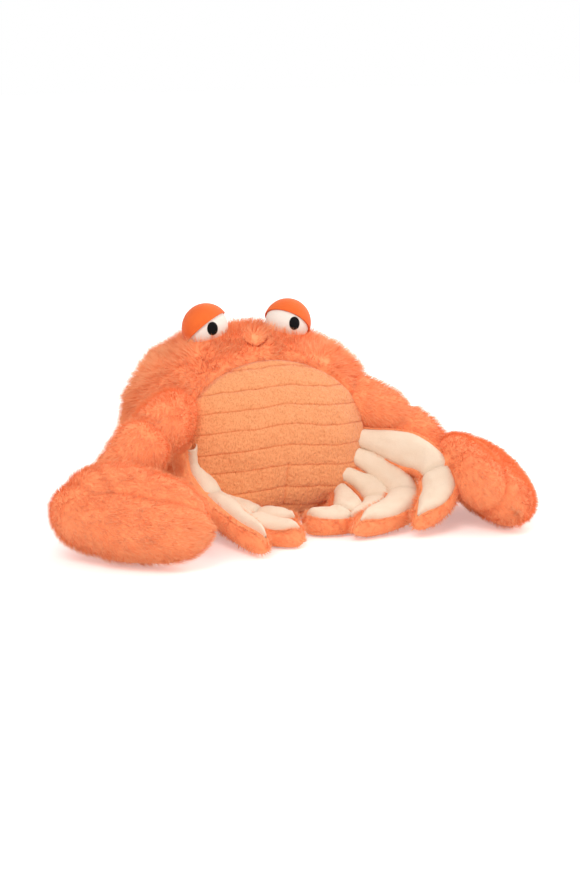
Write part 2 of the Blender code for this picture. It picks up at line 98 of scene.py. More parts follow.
# Smile: places along its stitched line
SMILE = np.array((
    (-0.0126, 0.0607, 0.1461), (-0.0118, 0.0550, 0.1437), (-0.0088, 0.0513, 0.1420),
    (-0.0039, 0.0495, 0.1411), (0.0014, 0.0519, 0.1425), (0.0068, 0.0566, 0.1447),
    (0.0100, 0.0625, 0.1469),
))
# Heights of the belly's stitched lines at its middle
STITCHES = (0.127, 0.113, 0.099, 0.084, 0.068, 0.052, 0.034, 0.019)
STITCH_SAG = 0.085  # how much a line falls per metre sideways
BELLY_THICKNESS, LINING_THICKNESS = 0.0016, 0.0011

MOUND = np.array((-0.0010, 0.060, 0.1462))  # middle of the small swelling that the smile goes under
SHOULDER = np.array((0.082, 0.062, 0.112))  # where the body is fuller on its left
SHOULDER_REACH, SHOULDER_RISE = 0.032, 0.0050
PANEL_BED = 0.0060  # how deep the body's skin lies under the belly panel

CAMERA_YAW, CAMERA_RISE = math.radians(22.0), math.radians(12.3)
CAMERA_DISTANCE = 1.7
CAMERA_TARGET = np.array((0.0042, 0.0, 0.076))
CAMERA_LENS, CAMERA_SENSOR = 87.93, 36.0

NO_TRIS = np.zeros((0, 3), int)


# Small tools


def unit(vectors):
    return vectors / np.maximum(np.linalg.norm(vectors, axis=-1, keepdims=True), 1e-12)


def waves(points, size, seed, count=30):
    """Smooth seeded noise of about -1 to 1, with features about size metres across."""
    rng = np.random.default_rng(seed)
    turns = rng.normal(size=(3, count)) * (2.2 / size)
    return np.sin(points @ turns + rng.uniform(0, 2 * math.pi, count)).sum(1) * (0.9 / math.sqrt(count))


def waves_3(points, size, seed):
    return np.stack([waves(points, size, seed + i) for i in range(3)], 1)


def smooth_step(low, high, value):
    share = np.clip((value - low) / (high - low), 0, 1)
    return share * share * (3 - 2 * share)


def bump(value, width):
    return np.exp(-((value / width) ** 2))


def vertex_normals(verts, quads, tris):
    faces = np.concatenate([quads[:, [0, 1, 2]], quads[:, [0, 2, 3]], tris])
    a, b, c = (verts[faces[:, i]] for i in range(3))
    flat = np.cross(b - a, c - a)
    made = np.zeros_like(verts)
    for i in range(3):
        np.add.at(made, faces[:, i], flat)
    return unit(made), (a * np.cross(b, c)).sum() / 6


def skin_of(verts, quads, tris=NO_TRIS, **fields):
    """A closed skin with its normals and what its pile needs at each vertex: lay, dense, tall and crease."""
    normals, volume = vertex_normals(verts, quads, tris)
    if volume < 0:
        quads, tris, normals = quads[:, ::-1], tris[:, ::-1], -normals
    made = {"v": verts, "q": quads, "t": tris, "n": normals}
    made["lay"] = fields.get("lay", np.tile((0.0, 0.0, -1.0), (len(verts), 1)))
    made["dense"] = fields.get("dense", np.ones(len(verts)))
    made["tall"] = fields.get("tall", np.ones(len(verts)))
    made["crease"] = fields.get("crease", np.zeros(len(verts)))
    return made


def grid_quads(rows, columns, closed=False):
    """Quads of a grid of points; in a closed one the last column meets the first."""
    i, j = np.meshgrid(np.arange(rows - 1), np.arange(columns if closed else columns - 1), indexing="ij")
    k = (j + 1) % columns
    corners = (i * columns + j, i * columns + k, (i + 1) * columns + k, (i + 1) * columns + j)
    return np.stack(corners, -1).reshape(-1, 4)


def ring_skin(rings, **fields):
    """A closed skin through rings (R, K, 3), each end closed by a fan."""
    count, sides = rings.shape[:2]
    verts = np.concatenate([rings.reshape(-1, 3), rings[0].mean(0)[None], rings[-1].mean(0)[None]])
    quads = grid_quads(count, sides, closed=True)
    j = np.arange(sides)
    k = (j + 1) % sides
    last = (count - 1) * sides
    first_fan = np.stack([np.full(sides, len(verts) - 2), k, j], 1)
    last_fan = np.stack([np.full(sides, len(verts) - 1), last + j, last + k], 1)
    for name, value in fields.items():
        flat = value.reshape(-1, *value.shape[2:])
        fields[name] = np.concatenate([flat, value[0].mean(0)[None], value[-1].mean(0)[None]])
    return skin_of(verts, quads, np.concatenate([first_fan, last_fan]), **fields)


def cube_grid(cuts):
    form = bmesh.new()
    bmesh.ops.create_cube(form, size=2.0)
    bmesh.ops.subdivide_edges(form, edges=form.edges[:], cuts=cuts, use_grid_fill=True)
    return form


def blown_up(places):
    """Places on a cube's sides moved to a sphere."""
    return unit(np.tan(places * (math.pi / 4)))


def cube_ball(cuts):
    """Directions and quads of a cube's grid blown up to a sphere."""
    form = cube_grid(cuts)
    form.verts.index_update()
    verts = np.array([v.co for v in form.verts])
    quads = np.array([[v.index for v in f.verts] for f in form.faces])
    form.free()
    return blown_up(verts), quads


def tree_of(skin):
    faces = [list(map(int, f)) for f in skin["q"]] + [list(map(int, f)) for f in skin["t"]]
    tree = BVHTree.FromPolygons([tuple(v) for v in skin["v"]], faces)
    return tree, skin["v"].min(0), skin["v"].max(0)


def depth_in(points, blockers, margin=0.0):
    """True for each point that lies more than margin inside one of the blockers."""
    inside = np.zeros(len(points), bool)
    for tree, low, high in blockers:
        near = np.nonzero(((points > low) & (points < high)).all(1) & ~inside)[0]
        for i in near:
            place = Vector(points[i])
            hit, normal, _, _ = tree.find_nearest(place)
            if (place - hit).dot(normal) < -margin:
                inside[i] = True
    return inside


def add_creases(skin, blockers, reach=0.006):
    """Marks where the skin comes close to the others, so that its pile is shorter and darker there; the
    darkening is painted shade where the parts meet.
    """
    near = np.full(len(skin["v"]), reach)
    for tree, low, high in blockers:
        for i in np.nonzero(((skin["v"] > low - reach) & (skin["v"] < high + reach)).all(1))[0]:
            hit = tree.find_nearest(Vector(skin["v"][i]), reach)
            if hit[0] is not None:
                near[i] = min(near[i], hit[3])
    skin["crease"] = np.maximum(skin["crease"], 1 - near / reach)
    skin["tall"] = skin["tall"] * (1 - 0.35 * skin["crease"])


# Meshes and their pile


def add_object(name, data):
    made = bpy.data.objects.new(name, data)
    bpy.context.scene.collection.objects.link(made)
    return made


def mesh_from(name, verts, quads, tris, look, tone=None, uv=None):
    """An object of these faces; with a UV map, which furry pieces have, its triangles are flat."""
    mesh = bpy.data.meshes.new(name)
    loops = np.concatenate([quads.ravel(), tris.ravel()]).astype(np.int32)
    totals = np.concatenate([np.full(len(quads), 4), np.full(len(tris), 3)])
    starts = np.concatenate([[0], np.cumsum(totals)[:-1]]).astype(np.int32)
    mesh.vertices.add(len(verts))
    mesh.vertices.foreach_set("co", (verts + SHIFT).astype(np.float32).ravel())
    mesh.loops.add(len(loops))
    mesh.loops.foreach_set("vertex_index", loops)
    mesh.polygons.add(len(totals))
    mesh.polygons.foreach_set("loop_start", starts)
    mesh.update(calc_edges=True)
    smooth = np.ones(len(totals), bool)
    smooth[len(quads):] = uv is None
    mesh.polygons.foreach_set("use_smooth", smooth)
    if tone is not None:
        layer = mesh.attributes.new("pile", "FLOAT_COLOR", "POINT")
        colours = np.concatenate([tone, np.ones((len(tone), 1))], 1)
        layer.data.foreach_set("color", colours.astype(np.float32).ravel())
    if uv is not None:
        layer = mesh.uv_layers.new(name="OFBake")
        layer.data.foreach_set("uv", uv.astype(np.float32).ravel())
    mesh.materials.append(look)
    return add_object(name, mesh)


def settle(piece, nodes):
    """Rides the piece on the root body, in the place of its CAD nodes."""
    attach(piece, "root")
    if nodes:
        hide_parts(*nodes)


# Lengths and radii in metres, lean in radians from the skin's normal, the rest as shares
PILE_STYLES = {
    "body": {"length": 0.0102, "lean": 0.66, "jitter": 0.38, "clump": 0.50, "group": 11, "radius": 0.00025},
    "arm": {"length": 0.0070, "lean": 0.80, "jitter": 0.12, "clump": 0.16, "group": 8, "radius": 0.00021},
    "claw": {"length": 0.0070, "lean": 1.00, "jitter": 0.10, "clump": 0.14, "group": 8, "radius": 0.00018},
    "leg": {"length": 0.0050, "lean": 0.80, "jitter": 0.22, "clump": 0.20, "group": 8, "radius": 0.00023},
}
BODY_PIECES = 3
TUFT_COUNTS = {"body": [27000], "arm": [17000], "claw": [26000, 17000, 11000], "leg": [5500]}
ROOT_SINK = 0.0012
TIP_FLOOR, ROOT_FLOOR = 0.0003, 0.0006  # least heights over the floor
SKIN_SHARE, SKIN_DEEP = 0.34, 0.3  # the skin's tones, which show between the tufts: low on the root-to-tip ramp and somewhat deeper, as painted shade at the bottom of the pile


def tufts(skin, count, style, seed, blockers):
    """Roots, tips, normals, tints and depths of tone of the pile on a skin, without what the blockers hide."""
    rng = np.random.default_rng(seed)
    tri = np.concatenate([skin["q"][:, [0, 1, 2]], skin["q"][:, [0, 2, 3]], skin["t"]])
    a, b, c = (skin["v"][tri[:, i]] for i in range(3))
    weight = np.linalg.norm(np.cross(b - a, c - a), axis=1) * skin["dense"][tri].mean(1)
    total = np.cumsum(weight)
    pick = np.searchsorted(total, rng.random(count) * total[-1])
    first = np.sqrt(rng.random(count))
    second = rng.random(count)
    shares = np.stack([1 - first, first * (1 - second), first * second], 1)

    def at(field):
        values = skin[field][tri[pick]]
        return (values * (shares[..., None] if values.ndim == 3 else shares)).sum(1)

    root, normal, lay, tall, crease = at("v"), unit(at("n")), at("lay"), at("tall"), at("crease")
    lay = unit(lay - normal * (lay * normal).sum(1)[:, None])
    lean = style["lean"] * (1 + 1.1 * style["jitter"] * waves(root, 0.012, seed + 50))
    axis = normal * np.cos(lean)[:, None] + lay * np.sin(lean)[:, None]
    drift = 0.30 * waves_3(root, 0.009, seed + 60) * style["jitter"] * 2
    axis = unit(axis + drift + rng.normal(size=root.shape) * style["jitter"] * 0.5)
    length = style["length"] * tall * rng.uniform(0.72, 1.12, count)
    length = length * (1 + 0.12 * waves(root, 0.006, seed + 70))
    tip = root + axis * length[:, None]

    heads = rng.choice(count, max(1, count // style["group"]), replace=False)
    tree = KDTree(len(heads))
    for i, h in enumerate(heads):
        tree.insert(root[h], i)
    tree.balance()
    nearest = np.array([tree.find(p)[1] for p in root])
    mates = tip[heads[nearest]]
    pull = style["clump"] * rng.uniform(0.4, 1.0, count)[:, None]
    tip = tip + (mates - tip) * pull
    axis = unit(tip - root)
    tip = root + axis * length[:, None]
    group_tone = rng.random(len(heads))[nearest]

    keep = ~depth_in(root, blockers, 0.0008) & ~depth_in(tip, blockers)
    sat_on = (normal[:, 2] < -0.6) & (root[:, 2] < 0.008)
    keep &= ~sat_on | (rng.random(count) < 0.25)
    root = root - normal * ROOT_SINK
    tip[:, 2] = np.maximum(tip[:, 2], TIP_FLOOR)
    root[:, 2] = np.maximum(root[:, 2], ROOT_FLOOR)
    # a tuft's tint and its clump's deeper tone vary at random; in creases the tint falls and the tone deepens,
    # which is painted shade
    tint = rng.random(count)
    deep = np.maximum(group_tone * 0.55, 0.7 * crease)
    return root[keep], tip[keep], normal[keep], tint[keep] * (1 - 0.7 * crease[keep]), deep[keep]


def furry(name, skins, kind, seed, blockers, skin_shown=True):
    """One piece: its skins and the pile on them, every tuft a slim three-sided spike."""
    style, counts = PILE_STYLES[kind], TUFT_COUNTS[kind]
    rng = np.random.default_rng(seed + 900)
    verts, quads, tris, tones = [], [], [], []
    total = 0
    if skin_shown:
        for skin in skins:
            verts.append(skin["v"])
            quads.append(skin["q"] + total)
            tris.append(skin["t"] + total)
            # the skin deepens in creases too, as painted shade where parts meet
            some = np.full(len(skin["v"]), SKIN_SHARE)
            tones.append(np.stack([some, some, np.maximum(SKIN_DEEP, 0.85 * skin["crease"])], 1))
            total += len(skin["v"])
    for i, (skin, count) in enumerate(zip(skins, counts)):
        root, tip, normal, tint, deep = tufts(skin, count, style, seed + 31 * i, blockers[i])
        axis = unit(tip - root)
        side = unit(np.cross(axis, normal + 0.35 * rng.normal(size=normal.shape)))
        over = np.cross(side, axis)
        radius = style["radius"] * rng.uniform(0.8, 1.25, len(root))[:, None]
        for out in (side, -side, over * 0.5):
            verts.append(root + out * radius)
        n = len(root)
        verts.append(tip)
        # roots take the ramp's dark end and tips its pale end: painted shade low in the pile, painted light at
        # the tips
        for share in (0.0, 0.0, 0.0, 1.0):
            tones.append(np.stack([np.full(n, share), tint, deep], 1))
        base = total + np.arange(n)
        for k in range(3):
            tris.append(np.stack([base + k * n, base + ((k + 1) % 3) * n, base + 3 * n], 1))
        total += 4 * n
    verts, tones = np.concatenate(verts), np.concatenate(tones)
    quads = np.concatenate(quads) if quads else np.zeros((0, 4), int)
    tris = np.concatenate(tris)
    return mesh_from(name, verts, quads, tris, FUR, tones, cell_map(len(quads), len(tris)))


def cell_map(quad_count, tri_count):
    """A UV map in which each face has a cell of its own."""
    side = math.ceil(math.sqrt(quad_count + tri_count))
    size = 1 / side
    number = np.arange(quad_count + tri_count)
    corner = np.stack([number % side, number // side], 1) * size
    low, high = 0.12 * size, 0.88 * size
    quad = np.array(((low, low), (high, low), (high, high), (low, high)))
    tri = np.array(((low, low), (high, low), (0.5 * size, high)))
    return np.concatenate([
        (corner[:quad_count, None] + quad).reshape(-1, 2),
        (corner[quad_count:, None] + tri).reshape(-1, 2),
    ])


# Materials


def new_material(name):
    made = bpy.data.materials.new(name)
    made.use_nodes = True
    tree = made.node_tree
    return made, tree, tree.nodes["Principled BSDF"]


def node(tree, kind, **inputs):
    made = tree.nodes.new(kind)
    for key, value in inputs.items():
        made.inputs[key.replace("_", " ")].default_value = value
    return made


def ramp(tree, factor, stops):
    made = tree.nodes.new("ShaderNodeValToRGB")
    elements = made.color_ramp.elements
    while len(elements) < len(stops):
        elements.new(0.5)
    for element, (place, colour) in zip(elements, stops):
        element.position = place
        element.color = (*colour, 1)
    tree.links.new(factor, made.inputs["Fac"])
    return made.outputs["Color"]


def mix(tree, factor, first, second, blend="MIX"):
    made = tree.nodes.new("ShaderNodeMix")
    made.data_type = "RGBA"
    made.blend_type = blend
    for key, value in (("Factor", factor), ("A", first), ("B", second)):
        socket = made.inputs[key]
        if hasattr(value, "is_linked"):
            tree.links.new(value, socket)
        elif isinstance(value, (tuple, list)):
            socket.default_value = (*value, 1)
        else:
            socket.default_value = value
    return made.outputs["Result"]


def math_node(tree, operation, first, second):
    made = tree.nodes.new("ShaderNodeMath")
    made.operation = operation
    for socket, value in zip(made.inputs, (first, second)):
        if hasattr(value, "is_linked"):
            tree.links.new(value, socket)
        else:
            socket.default_value = value
    return made.outputs["Value"]


def place_of(tree):
    return tree.nodes.new("ShaderNodeTexCoord").outputs["Object"]


def noise(tree, place, scale, detail=3.0, roughness=0.55):
    made = node(tree, "ShaderNodeTexNoise", Scale=scale, Detail=detail, Roughness=roughness)
    tree.links.new(place, made.inputs["Vector"])
    return made.outputs["Fac"]


def relief(tree, shader, height, distance, strength=1.0):
    made = node(tree, "ShaderNodeBump", Strength=strength, Distance=distance)
    tree.links.new(height, made.inputs["Height"])
    tree.links.new(made.outputs["Normal"], shader.inputs["Normal"])


def pile_tones(tree):
    """The three tones that a mesh holds at each of its points."""
    pile = tree.nodes.new("ShaderNodeAttribute")
    pile.attribute_name = "pile"
    parts = tree.nodes.new("ShaderNodeSeparateColor")
    tree.links.new(pile.outputs["Color"], parts.inputs["Color"])
    return parts


def soften(shader, roughness, specular, sheen=0.0, sheen_roughness=0.5):
    shader.inputs["Roughness"].default_value = roughness
    shader.inputs["Specular IOR Level"].default_value = specular
    shader.inputs["Sheen Weight"].default_value = sheen
    shader.inputs["Sheen Roughness"].default_value = sheen_roughness


def fur_material(name, dark, middle, light):
    """Long pile: darker at its roots and in creases, as painted shade deep in the pile and where parts meet,
    paler at its tips, as painted light shining through them, and paler in some tufts at random.
    """
    made, tree, shader = new_material(name)
    parts = pile_tones(tree)
    share, tint, depth = (parts.outputs[k] for k in ("Red", "Green", "Blue"))
    # the ramp runs from dark at the root to pale at the tip: painted shade low in the pile, painted light at
    # the tips
    colour = ramp(tree, share, ((0.0, dark), (0.45, middle), (1.0, light)))
    place = place_of(tree)
    patches = ramp(tree, noise(tree, place, 55.0), ((0.3, (0.99, 0.92, 0.88)), (0.7, (1.0, 1.0, 1.0))))
    colour = mix(tree, 1.0, colour, patches, "MULTIPLY")
    pale = mix(tree, 0.42, colour, (1.0, 0.54, 0.31))
    lift = math_node(tree, "MULTIPLY", math_node(tree, "POWER", tint, 2.5), 0.75)
    colour = mix(tree, lift, colour, pale)
    # deeper colour: at random by clump, and in creases as painted shade
    deep = mix(tree, 1.0, colour, (0.96, 0.66, 0.54), "MULTIPLY")
    colour = mix(tree, math_node(tree, "MULTIPLY", depth, 0.75), colour, deep)
    tree.links.new(colour, shader.inputs["Base Color"])
    soften(shader, 0.85, 0.25, 0.35)
    shader.inputs["Sheen Tint"].default_value = (1.0, 0.72, 0.55, 1)
    relief(tree, shader, noise(tree, place, 900.0, 2.0), 0.0006, 0.6)
    return made


def suede_material(name, colour, shade, sheen, grain=2600.0, depth=0.00012):
    """Brushed cloth: a fine nap over soft clouds of shade."""
    made, tree, shader = new_material(name)
    place = place_of(tree)
    clouds = noise(tree, place, 70.0, 4.0)
    fine = noise(tree, place, grain, 3.0, 0.7)
    base = mix(tree, ramp(tree, clouds, ((0.32, (0, 0, 0)), (0.68, (1, 1, 1)))), shade, colour)
    specks = ramp(tree, fine, ((0.30, (0.88, 0.87, 0.86)), (0.62, (1.0, 1.0, 1.0))))
    base = mix(tree, 1.0, base, specks, "MULTIPLY")
    tree.links.new(base, shader.inputs["Base Color"])
    soften(shader, 0.88, 0.2, sheen, 0.45)
    height = math_node(tree, "ADD", fine, math_node(tree, "MULTIPLY", noise(tree, place, 600.0, 3.0), 1.2))
    relief(tree, shader, height, depth * 2, 0.8)
    return made


def belly_material():
    """Short ribbed plush: darker in its stitched lines, the dart and the tuck, as painted shade in their
    grooves, with a fine upright pile.
    """
    made, tree, shader = new_material("peach_ribbed_plush")
    place = place_of(tree)
    stretch = tree.nodes.new("ShaderNodeMapping")
    stretch.inputs["Scale"].default_value = (1.0, 1.0, 0.42)
    tree.links.new(place, stretch.inputs["Vector"])
    strands = noise(tree, stretch.outputs["Vector"], 1050.0, 3.0, 0.65)
    curls = noise(tree, place, 420.0, 3.0)
    # tones from a stitched line up its slope to the top of a swell: the darker line and slope are painted
    # shade in the groove
    line, slope, top = (0.70, 0.182, 0.062), (0.82, 0.288, 0.112), (0.86, 0.332, 0.137)
    base = ramp(tree, pile_tones(tree).outputs["Red"], ((0.0, line), (0.5, slope), (1.0, top)))
    dull, plain, bright = (0.80, 0.70, 0.61), (1.0, 1.0, 1.0), (1.05, 1.14, 1.22)
    streaks = ramp(tree, strands, ((0.32, dull), (0.50, plain), (0.72, bright)))
    base = mix(tree, 1.0, base, streaks, "MULTIPLY")
    clouds = ramp(tree, curls, ((0.25, (0.90, 0.86, 0.82)), (0.55, (1.0, 1.0, 1.0))))
    base = mix(tree, 1.0, base, clouds, "MULTIPLY")
    tree.links.new(base, shader.inputs["Base Color"])
    soften(shader, 0.88, 0.2, 0.3)
    height = math_node(tree, "ADD", strands, math_node(tree, "MULTIPLY", curls, 1.4))
    relief(tree, shader, height, 0.0007, 0.8)
    return made


def thread_material(name, colour, sheen_colour, pitch):
    """Satin stitches that lie side by side, pitch metres apart, each paler along its crest as a painted sheen.
    """
    made, tree, shader = new_material(name)
    place = place_of(tree)
    wave = node(tree, "ShaderNodeTexWave", Scale=0.5 / pitch, Distortion=1.2, Detail=2.0)
    wave.inputs["Detail Scale"].default_value = 2.0
    wave.bands_direction = "X"
    tree.links.new(place, wave.inputs["Vector"])
    # the wave's crests take the sheen colour: painted sheen on each stitch
    base = ramp(tree, wave.outputs["Fac"], ((0.1, colour), (0.9, sheen_colour)))
    tree.links.new(base, shader.inputs["Base Color"])
    soften(shader, 0.7, 0.12)
    relief(tree, shader, wave.outputs["Fac"], 0.00025, 0.8)
    return made


def plain_cloth(name, colour, scale):
    """Matt cloth or wadding with fine clouds of shade."""
    made, tree, shader = new_material(name)
    fine = noise(tree, place_of(tree), scale, 4.0)
    shade = tuple(0.8 * c for c in colour)
    tree.links.new(ramp(tree, fine, ((0.3, shade), (0.7, colour))), shader.inputs["Base Color"])
    shader.inputs["Roughness"].default_value = 0.95
    relief(tree, shader, fine, 0.0008, 0.6)
    return made


FUR = fur_material("orange_fur", (1.0, 0.30, 0.105), (1.0, 0.42, 0.185), (1.0, 0.59, 0.33))
CREAM = suede_material("cream_suede", (0.86, 0.695, 0.54), (0.83, 0.65, 0.49), 0.25)
EYE_WHITE = suede_material("eye_white_suede", (0.91, 0.86, 0.79), (0.89, 0.82, 0.745), 0.2)
LID = suede_material("eyelid_suede", (0.89, 0.165, 0.030), (0.82, 0.134, 0.024), 0.2)
BELLY = belly_material()
PUPIL = thread_material("pupil_thread", (0.003, 0.003, 0.004), (0.012, 0.011, 0.012), 0.0005)
THREAD = thread_material("smile_thread", (0.50, 0.06, 0.015), (0.66, 0.10, 0.03), 0.0006)
for INSIDE, CLOTH in (
    ("body_stuffing", plain_cloth("polyester_stuffing", (0.86, 0.86, 0.84), 160.0)),
    ("bean_pouch", plain_cloth("pouch_cotton", (0.76, 0.73, 0.67), 900.0)),
):
    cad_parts[INSIDE].data.materials.clear()
    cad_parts[INSIDE].data.materials.append(CLOTH)


# Forms


def body_form(directions):
    """The body's surface in each direction: squarish from above, flat under the waist."""
    x, y, z = directions.T
    flat = np.hypot(x, y)
    rise = np.abs(z)
    safe = np.maximum(flat, 1e-9)
    across, along = x / safe, y / safe
    square = (np.abs(across) ** PLAN_POWER + np.abs(along) ** PLAN_POWER) ** (-1 / PLAN_POWER)
    across, along = across * square, along * square
    seat = (flat**BASE_POWER + rise**BASE_POWER) ** (-1 / BASE_POWER)
    lower = z < 0
    level = np.where(lower, flat * seat, flat)
    drop = WAIST_HEIGHT - (WAIST_HEIGHT + BASE_SINK) * rise * seat
    climb = WAIST_HEIGHT + (BODY_HEIGHT - WAIST_HEIGHT) * rise
    crown = (1 - np.minimum(rise, 1.0) ** CROWN_POWER) ** (1 / CROWN_POWER)
    wide = np.where(lower, level, crown)
    lean = np.where(lower, 0.0, HEAD_LEAN * rise)
    half = BODY_DEPTH / 2
    side, back = BODY_WIDTH / 2 * across * wide, half * (1 + along * level) + lean
    made = np.stack([side, back, np.where(lower, drop, climb)], 1)
    made[:, 2] = np.maximum(made[:, 2], 0.0)
    return made


def body_front(x, z):
    """How far back the body's front lies at each place across and up."""
    upper = z > WAIST_HEIGHT
    above, below = BODY_HEIGHT - WAIST_HEIGHT, WAIST_HEIGHT + BASE_SINK
    rise = np.where(upper, (z - WAIST_HEIGHT) / above, (WAIST_HEIGHT - z) / below)
    rise = np.clip(rise, 0, 0.9999)
    seat = (1 - rise**BASE_POWER) ** (1 / BASE_POWER)
    wide = np.where(upper, (1 - rise**CROWN_POWER) ** (1 / CROWN_POWER), seat)
    deep = np.where(upper, np.sqrt(1 - rise**2), seat)
    share = np.clip(np.abs(x) / (BODY_WIDTH / 2 * wide), 0, 1)
    along = (1 - share**PLAN_POWER) ** (1 / PLAN_POWER)
    return BODY_DEPTH / 2 * (1 - along * deep) + np.where(upper, HEAD_LEAN * rise, 0)


def line_points(line, count):
    """Even points along a broken line."""
    steps = np.linspace(0, len(line) - 1, count)
    return np.stack([np.interp(steps, np.arange(len(line)), line[:, i]) for i in range(3)], 1)


def distance_to_line(points, line):
    best = np.full(len(points), 1.0)
    for start, end in zip(line, line[1:]):
        along = end - start
        share = np.clip(((points - start) @ along) / (along @ along), 0, 1)
        best = np.minimum(best, np.linalg.norm(points - start - share[:, None] * along, axis=1))
    return best


def panel_share(points):
    """1 on the belly panel's edge, less inside it, for places on the front."""
    share = np.hypot(points[:, 0] / (PANEL_WIDTH / 2), (points[:, 2] - PANEL_MIDDLE) / (PANEL_HEIGHT / 2))
    return np.where(points[:, 1] < BODY_DEPTH * 0.4, share, 9.0)


def body_skin():
    directions, quads = cube_ball(47)
    verts = body_form(directions)
    share = panel_share(verts)
    normals, _ = vertex_normals(verts, quads, NO_TRIS)
    smile = distance_to_line(verts, SMILE)
    mound = np.linalg.norm(verts - MOUND, axis=1)
    push = -PANEL_BED * smooth_step(SEAM + 0.015, SEAM - 0.04, share)
    push += -0.0028 * bump(smile, 0.0022) + 0.0022 * bump(mound, 0.0085)
    shoulder = np.linalg.norm(verts - SHOULDER, axis=1)
    push += 0.0010 * waves(verts, 0.035, 5) + SHOULDER_RISE * bump(shoulder, SHOULDER_REACH)
    push = np.where(verts[:, 2] < 0.002, 0.0, push)
    verts = verts + normals * push[:, None]
    verts[:, 2] = np.maximum(verts[:, 2], TIP_FLOOR)
    # the pile falls outward and down, in drifts
    x, y, z = verts.T
    outward = np.stack([x / 0.1, 0.4 * (y - 0.085) / 0.085, (z - 0.10) / 0.11], 1)
    lay = outward + np.array((0.0, 0.0, -0.75)) + 0.85 * waves_3(verts, 0.024, 11)
    # beside and under the belly it leans away from the belly's seam
    away = unit(verts * (1, 0, 1) - np.array((0.0, 0.0, PANEL_MIDDLE)))
    beside = smooth_step(0.75, 0.25, (z - PANEL_MIDDLE) / (PANEL_HEIGHT / 2))
    seam = smooth_step(1.40, 1.02, share) * beside
    lay = lay + 2.2 * away * seam[:, None]
    around = unit(verts - MOUND)
    near_mound = 0.6 * bump(mound, 0.011)[:, None]
    lay = lay * (1 - near_mound) + around * near_mound
    dense = 1.0 - 0.97 * smooth_step(SEAM, SEAM - 0.025, share)
    dense = dense * (1 - 0.75 * bump(smile, 0.0011))
    tall = 1.0 - 0.35 * bump(mound, 0.009) - 0.30 * bump(smile, 0.003)
    tall = tall * (0.80 + 0.20 * smooth_step(SEAM, SEAM + 0.12, share)) * (1 - 0.20 * seam)
    # the crease along the smile darkens the pile there, as painted shade in its groove
    return skin_of(verts, quads, lay=lay, dense=dense, tall=tall, crease=0.9 * bump(smile, 0.0028))


def bend(points, share):
    """Points of the curve that starts at the first point, passes the second halfway and ends at the third."""
    start, middle, end = (np.array(p) for p in points)
    control = middle * 2 - (start + end) / 2
    share = np.asarray(share)[:, None]
    return start * (1 - share) ** 2 + control * 2 * (1 - share) * share + end * share**2


def frames_along(line, facing, shares):
    """The line's places, and there the directions ahead, across and out of its face."""
    ahead = unit(line(shares + 0.01) - line(shares - 0.01))
    face = facing(shares)
    face = unit(face - ahead * (ahead * face).sum(1)[:, None])
    return line(shares), ahead, np.cross(ahead, face), face


def rounded_end(share, start, end, reach, least=0.06):
    """1 along a form, falling in a quarter circle to least at both ends."""
    gap = np.minimum(share - start, end - share)
    t = np.clip(1 - gap / reach, 0, 1)
    return np.maximum(np.sqrt(np.maximum(0, 1 - t * t)), least)


def round_shares(count, start, end):
    """Shares that lie closer together near both ends."""
    t = np.linspace(0, 1, count)
    return start + (end - start) * (0.2 * t + 0.8 * (1 - np.cos(np.pi * t)) / 2)


def squircle(angles, power):
    """Points of a squarish unit circle."""
    c, s = np.cos(angles), np.sin(angles)
    size = (np.abs(c) ** power + np.abs(s) ** power) ** (-1 / power)
    return c * size, s * size


def tube(frames, half_width, half_height, sides, power):
    """Rings round a line, and the direction of the pile on them."""
    middle, ahead, across, face = frames
    x, y = squircle(2 * np.pi * (np.arange(sides) + 0.5) / sides, power)
    rings = middle[:, None] + across[:, None] * (x[None, :, None] * half_width[:, None, None])
    rings = rings + face[:, None] * (y[None, :, None] * half_height[:, None, None])
    return rings, np.repeat(ahead[:, None], sides, 1)


def lift_from_floor(rings, least=0.0015):
    rings[..., 2] = np.where(rings[..., 2] < least, least, rings[..., 2])
    return rings


def soft_rings(middle, rings, depth, size, seed):
    """Rings made uneven by a share depth of their radius, in swells about size across, off the floor."""
    soft = (1 + depth * waves(rings.reshape(-1, 3), size, seed)).reshape(rings.shape[:2])[..., None]
    return lift_from_floor(middle[:, None] + (rings - middle[:, None]) * soft)


def arm_skin(name, seed):
    shares = round_shares(54, -0.25, 1.25)
    pinch = 1 - ELBOW_PINCHES[name] * bump(shares - 0.5, 0.085) - 0.06 * bump(shares - 0.5, 0.03)
    half = ARM_THICKNESS / 2 * pinch * rounded_end(shares, -0.25, 1.25, 0.30)
    upward = np.tile((0, 0, 1.0), (len(shares), 1))
    frames = frames_along(lambda s: bend(ARMS[name], s), lambda s: upward, shares)
    rings, lay = tube(frames, half, half, 40, 2.0)
    return ring_skin(soft_rings(frames[0], rings, 0.035, 0.022, seed), lay=lay)


# Big finger, small finger and palm: lane, curl, start, end, breadth and thickness as shares of the claw
CLAW_PARTS = (
    (-0.17, 0.06, 0.0, 1.0, 0.36, 0.50),
    (0.17, 0.10, 0.06, 0.94, 0.30, 0.445),
    (0.02, 0.08, 0.03, 0.50, 0.42, 0.485),
)


